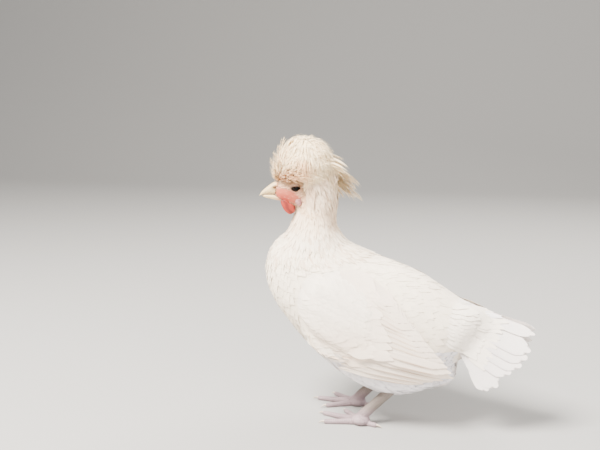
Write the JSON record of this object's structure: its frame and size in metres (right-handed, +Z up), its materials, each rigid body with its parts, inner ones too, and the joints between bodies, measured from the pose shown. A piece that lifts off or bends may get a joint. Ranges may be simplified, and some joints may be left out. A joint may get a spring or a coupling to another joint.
{
  "type": "polish crested chicken",
  "caption": "Life-size model of a white crested chicken standing with its head turned a little to its left.",
  "frame": {"origin": "middle of the model's box, on the floor", "axes": "+X to the bird's left, -Y the way it faces, +Z up"},
  "size_m": [0.1368, 0.3236, 0.344],
  "materials": {
    "plumage": "soft white body feathers",
    "crest_feather": "wispy cream crest feathers",
    "flight_feather": "smooth stiff white vanes",
    "face_skin": "bare pink-red skin, finely creased",
    "lobe_skin": "pale pinkish-white lobe",
    "horn": "satin ivory horn",
    "scaled_skin": "slate-grey scales",
    "eye": "wet dark brown"
  },
  "bodies": {
    "root": {"bill_lower": "horn", "bill_upper": "horn", "claw_hallux_left": "horn", "claw_hallux_right": "horn", "claw_inner_left": "horn", "claw_inner_right": "horn", "claw_middle_left": "horn", "claw_middle_right": "horn", "claw_outer_left": "horn", "claw_outer_right": "horn", "crest": "crest_feather", "eye_left": "eye", "eye_right": "eye", "head": "face_skin", "lobe_left": "lobe_skin", "lobe_right": "lobe_skin", "neck": "plumage", "shank_left": "scaled_skin", "shank_right": "scaled_skin", "tail_left": "flight_feather", "tail_right": "flight_feather", "thigh_left": "plumage", "thigh_right": "plumage", "toe_hallux_left": "scaled_skin", "toe_hallux_right": "scaled_skin", "toe_inner_left": "scaled_skin", "toe_inner_right": "scaled_skin", "toe_middle_left": "scaled_skin", "toe_middle_right": "scaled_skin", "toe_outer_left": "scaled_skin", "toe_outer_right": "scaled_skin", "torso": "plumage", "wattle_left": "face_skin", "wattle_right": "face_skin", "wing_left": "flight_feather", "wing_right": "flight_feather"}
  },
  "joints": []
}
